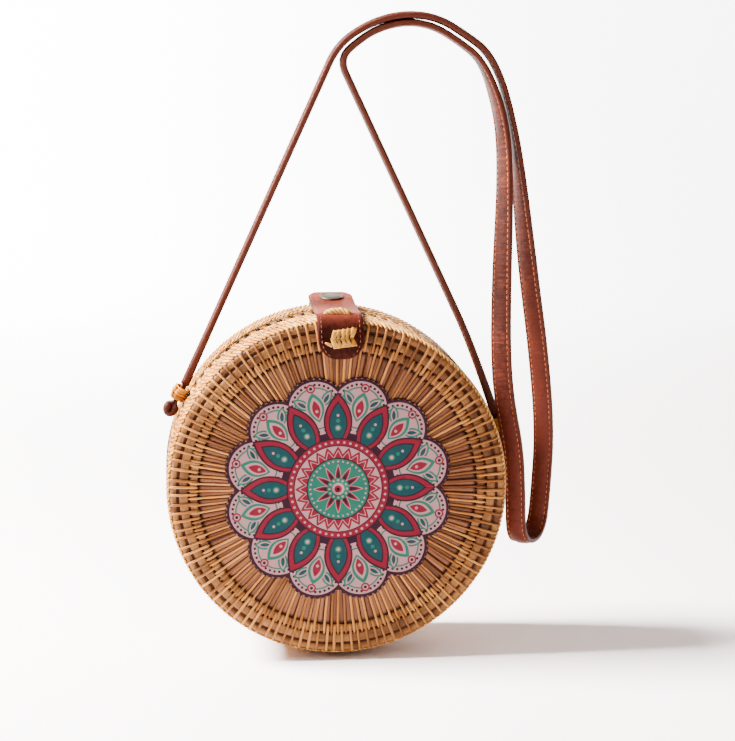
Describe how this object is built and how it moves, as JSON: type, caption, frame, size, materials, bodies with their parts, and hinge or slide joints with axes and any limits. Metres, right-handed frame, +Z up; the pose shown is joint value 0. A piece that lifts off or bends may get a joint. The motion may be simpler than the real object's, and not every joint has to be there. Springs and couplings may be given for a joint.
{
  "type": "round woven shoulder bag",
  "caption": "Round woven reed shoulder bag in two hinged halves, with a leather snap flap, a printed cloth patch and a long leather strap lashed on with raffia.",
  "frame": {"origin": "middle of the place where the strap is held, between its two strands at the top of the arch", "axes": "+X to the right, -Y out of the patched front face, +Z up; the bag hangs below the origin"},
  "size_m": [0.2365, 0.0868, 0.3781],
  "materials": {
    "reed": "varnished split reed, honey brown, worn paler on the crests",
    "splint": "flat darker splints under the reeds, fine grain",
    "lining_cloth": "plain cotton",
    "printed_cloth": "printed cotton, matte",
    "strap_leather": "smooth cognac leather, edge stitched",
    "flap_leather": "smooth dark brown leather, edge stitched",
    "raffia": "dry pale raffia strands",
    "snap_metal": "antique grey, lightly worn"
  },
  "bodies": {
    "strap": {"strap_end_left": "strap_leather", "strap_left_run": "strap_leather", "strap_hanging_loop": "strap_leather", "strap_right_run": "strap_leather", "strap_end_right": "strap_leather"},
    "rear_half": {"rear_face_panel": "splint", "rear_spokes": "reed", "rear_coils": "splint", "rear_rim_wraps": "reed", "rear_side_wall": "reed", "rear_rim_rod": "reed", "rear_lining": "lining_cloth", "rear_hinge_leaf": "flap_leather", "hinge_roll": "flap_leather", "rear_hinge_stitches": "raffia", "rear_tab": "flap_leather", "rear_tab_chevron": "raffia", "snap_stud": "snap_metal", "lashing_left": "raffia", "lashing_right": "raffia"},
    "front_half": {"front_face_panel": "splint", "front_spokes": "reed", "front_coils": "splint", "front_rim_wraps": "reed", "front_side_wall": "reed", "front_rim_rod": "reed", "front_lining": "lining_cloth", "front_hinge_leaf": "flap_leather", "front_hinge_stitches": "raffia", "printed_patch": "printed_cloth", "flap_sewn_end": "flap_leather", "flap_chevron": "raffia", "flap_fold_bar": "raffia"},
    "flap": {"flap_tongue": "flap_leather", "snap_cap": "snap_metal", "snap_socket": "snap_metal"}
  },
  "joints": [
    {"name": "bag_swing", "type": "hinge", "parent": "strap", "child": "rear_half", "pos_m": [-0.04256, 0, -0.23111], "axis": [0.994, 0, -0.1097], "range_deg": [-20, 20]},
    {"name": "lid_open", "type": "hinge", "parent": "rear_half", "child": "front_half", "pos_m": [-0.047, -0.007, -0.3724], "axis": [1, 0, 0], "range_deg": [0, 70]},
    {"name": "flap_lift", "type": "hinge", "parent": "front_half", "child": "flap", "pos_m": [-0.046, -0.032, -0.1665], "axis": [1, 0, 0], "range_deg": [0, 110]}
  ]
}
